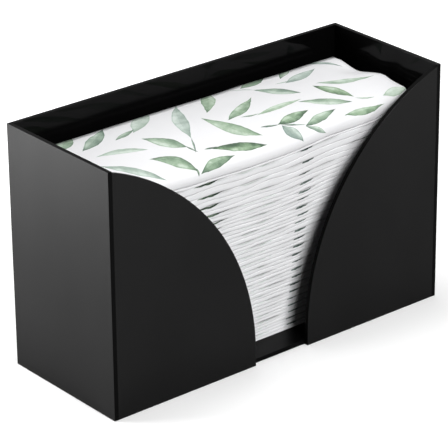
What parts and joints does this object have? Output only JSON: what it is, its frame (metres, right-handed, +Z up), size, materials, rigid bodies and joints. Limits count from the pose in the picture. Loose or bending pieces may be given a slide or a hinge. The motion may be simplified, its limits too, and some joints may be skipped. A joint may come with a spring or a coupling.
{
  "type": "countertop paper napkin holder",
  "caption": "Open-topped box of black acrylic sheet with a curved hand notch in its front, filled with a stack of folded paper guest napkins in a leaf print.",
  "frame": {"origin": "on the standing surface, under the middle of the box", "axes": "+X to the right as one faces the notched front, along the box's length; +Y from the notched front to the back; +Z up"},
  "size_m": [0.27, 0.1018, 0.1655],
  "materials": {
    "black_acrylic": "gloss",
    "napkin_paper": "matte"
  },
  "bodies": {
    "holder": {"base_plate": "black_acrylic", "back_panel": "black_acrylic", "left_side_panel": "black_acrylic", "right_side_panel": "black_acrylic", "front_left_panel": "black_acrylic", "front_right_panel": "black_acrylic"},
    "napkin_stack": {"napkin_01": "napkin_paper", "napkin_02": "napkin_paper", "napkin_03": "napkin_paper", "napkin_04": "napkin_paper", "napkin_05": "napkin_paper", "napkin_06": "napkin_paper", "napkin_07": "napkin_paper", "napkin_08": "napkin_paper", "napkin_09": "napkin_paper", "napkin_10": "napkin_paper", "napkin_11": "napkin_paper", "napkin_12": "napkin_paper", "napkin_13": "napkin_paper", "napkin_14": "napkin_paper", "napkin_15": "napkin_paper", "napkin_16": "napkin_paper", "napkin_17": "napkin_paper", "napkin_18": "napkin_paper", "napkin_19": "napkin_paper", "napkin_20": "napkin_paper", "napkin_21": "napkin_paper", "napkin_22": "napkin_paper", "napkin_23": "napkin_paper"},
    "top_napkin": {"napkin_24": "napkin_paper"}
  },
  "joints": [
    {"name": "stack_lift", "type": "slide", "parent": "holder", "child": "napkin_stack", "axis": [0, 0, 1], "range_m": [0, 0.17]},
    {"name": "top_napkin_lift", "type": "slide", "parent": "napkin_stack", "child": "top_napkin", "axis": [0, 0, 1], "range_m": [0, 0.04]}
  ]
}
